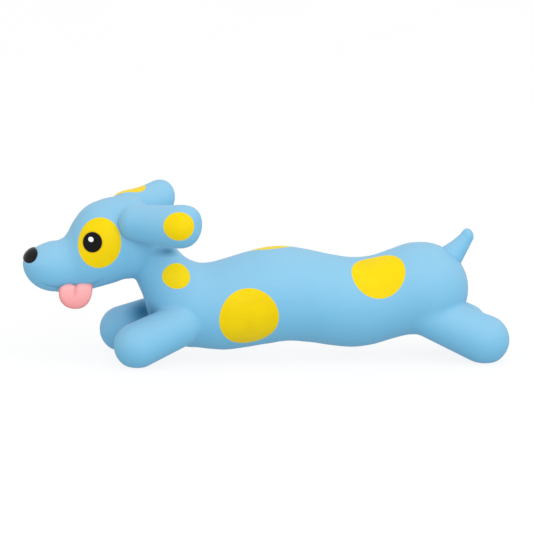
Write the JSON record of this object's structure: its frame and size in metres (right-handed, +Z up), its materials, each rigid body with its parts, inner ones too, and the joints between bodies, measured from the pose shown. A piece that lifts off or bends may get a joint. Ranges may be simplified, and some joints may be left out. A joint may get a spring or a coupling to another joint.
{
  "type": "squeaky dog toy",
  "caption": "Long latex dog-shaped squeaky toy for dogs, stuffed with fibre, with flexing ears, tail and tongue and a reed squeaker plugged into its belly.",
  "frame": {"origin": "on the floor under the middle of the toy's bounding box", "axes": "+X from nose to tail, +Y to the dog's right side, +Z up"},
  "size_m": [0.2458, 0.0874, 0.0852],
  "materials": {
    "latex_blue": "matte moulded latex",
    "latex_pink": "satin moulded latex",
    "nose_black": "satin black",
    "fibre": "loose polyester fibre",
    "squeaker_white": "moulded",
    "reed_amber": "thin film strip"
  },
  "bodies": {
    "dog": {"body_skin": "latex_blue", "head_skin": "latex_blue", "left_front_leg": "latex_blue", "right_front_leg": "latex_blue", "left_hind_leg": "latex_blue", "right_hind_leg": "latex_blue", "nose": "nose_black", "fibre_filling": "fibre", "squeaker_body": "squeaker_white", "squeaker_cap": "squeaker_white", "reed_seat": "squeaker_white", "reed_clamp": "squeaker_white"},
    "left_ear": {"left_ear": "latex_blue"},
    "right_ear": {"right_ear": "latex_blue"},
    "tail": {"tail": "latex_blue"},
    "tongue": {"tongue": "latex_pink"},
    "reed": {"reed": "reed_amber"}
  },
  "joints": [
    {"name": "left_ear_flap", "type": "hinge", "parent": "dog", "child": "left_ear", "pos_m": [-0.06798, -0.01414, 0.07323], "axis": [-0.7254, -0.6884, 0], "range_deg": [-15, 30], "stiffness_Nm_per_rad": 0.05},
    {"name": "right_ear_flap", "type": "hinge", "parent": "dog", "child": "right_ear", "pos_m": [-0.06798, 0.01414, 0.07323], "axis": [0.7254, -0.6884, 0], "range_deg": [-15, 30], "stiffness_Nm_per_rad": 0.05},
    {"name": "tail_wag", "type": "hinge", "parent": "dog", "child": "tail", "pos_m": [0.09441, 0, 0.05156], "axis": [-0.7955, 0, 0.606], "range_deg": [-30, 30], "stiffness_Nm_per_rad": 0.004},
    {"name": "tongue_flick", "type": "hinge", "parent": "dog", "child": "tongue", "pos_m": [-0.09729, -0.00918, 0.04144], "axis": [-1, 0, 0], "range_deg": [0, 40], "stiffness_Nm_per_rad": 0.002},
    {"name": "reed_flutter", "type": "hinge", "parent": "dog", "child": "reed", "pos_m": [0.01101, -0.00045, 0.01599], "axis": [1, 0, 0], "range_deg": [0, 4], "stiffness_Nm_per_rad": 0.00001}
  ]
}
